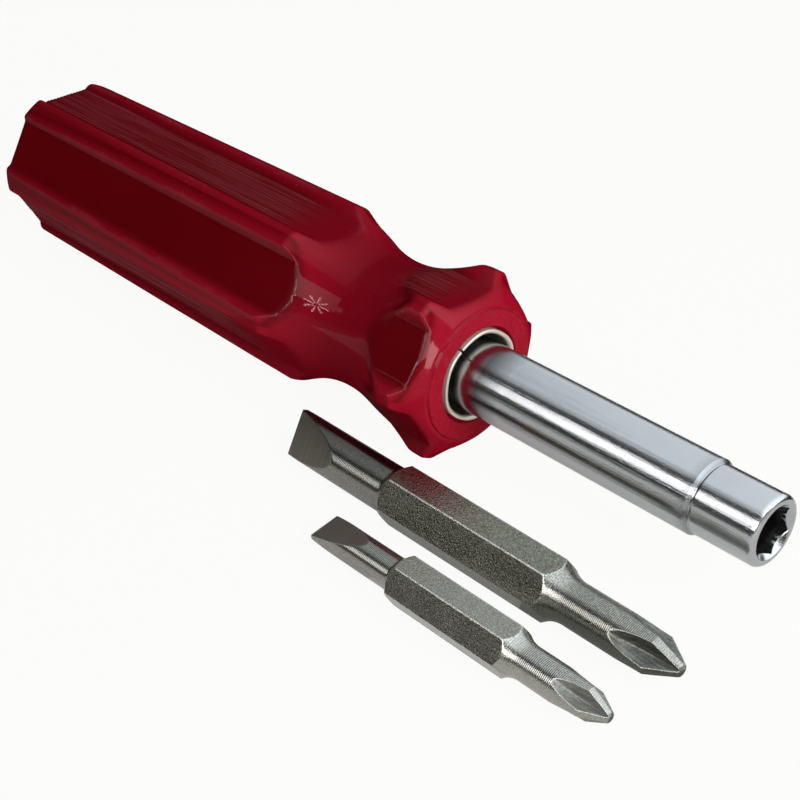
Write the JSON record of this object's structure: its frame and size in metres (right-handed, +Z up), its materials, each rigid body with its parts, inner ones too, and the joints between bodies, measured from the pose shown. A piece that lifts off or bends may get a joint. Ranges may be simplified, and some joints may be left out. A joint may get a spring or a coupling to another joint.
{
  "type": "reversible multi-bit screwdriver",
  "caption": "Screwdriver with a lobed red plastic handle, a reversible chrome nut-driver shaft held in a split ferrule, and loose double-ended slotted and cross-head bits on hexagon shanks.",
  "frame": {"origin": "centre of the whole set's footprint, on the bench it lies on", "axes": "+X along the driver's axis towards the tip of the shaft, +Y away from the loose bits, +Z up from the bench"},
  "size_m": [0.1586, 0.05, 0.027],
  "materials": {
    "handle_plastic": "glossy moulded red",
    "ferrule_nickel": "bright nickel plate",
    "shaft_chrome": "polished chrome plate",
    "spring_steel": "plain drawn steel",
    "bit_steel": "satin nickel plate over rolled and turned steel"
  },
  "bodies": {
    "handle": {"handle": "handle_plastic", "ferrule": "ferrule_nickel"},
    "shaft": {"shaft": "shaft_chrome", "drive_pin": "spring_steel", "tip_retainer": "spring_steel", "inner_retainer": "spring_steel"},
    "large_bit": {"large_bit": "bit_steel"},
    "small_bit": {"small_bit": "bit_steel"}
  },
  "joints": [
    {"name": "shaft_slide", "type": "slide", "parent": "handle", "child": "shaft", "axis": [1, 0, 0], "range_m": [0, 0.07]},
    {"name": "large_bit_lift", "type": "slide", "parent": "handle", "child": "large_bit", "axis": [0, 0, 1], "range_m": [0, 0.04]},
    {"name": "small_bit_lift", "type": "slide", "parent": "handle", "child": "small_bit", "axis": [0, 0, 1], "range_m": [0, 0.04]}
  ]
}
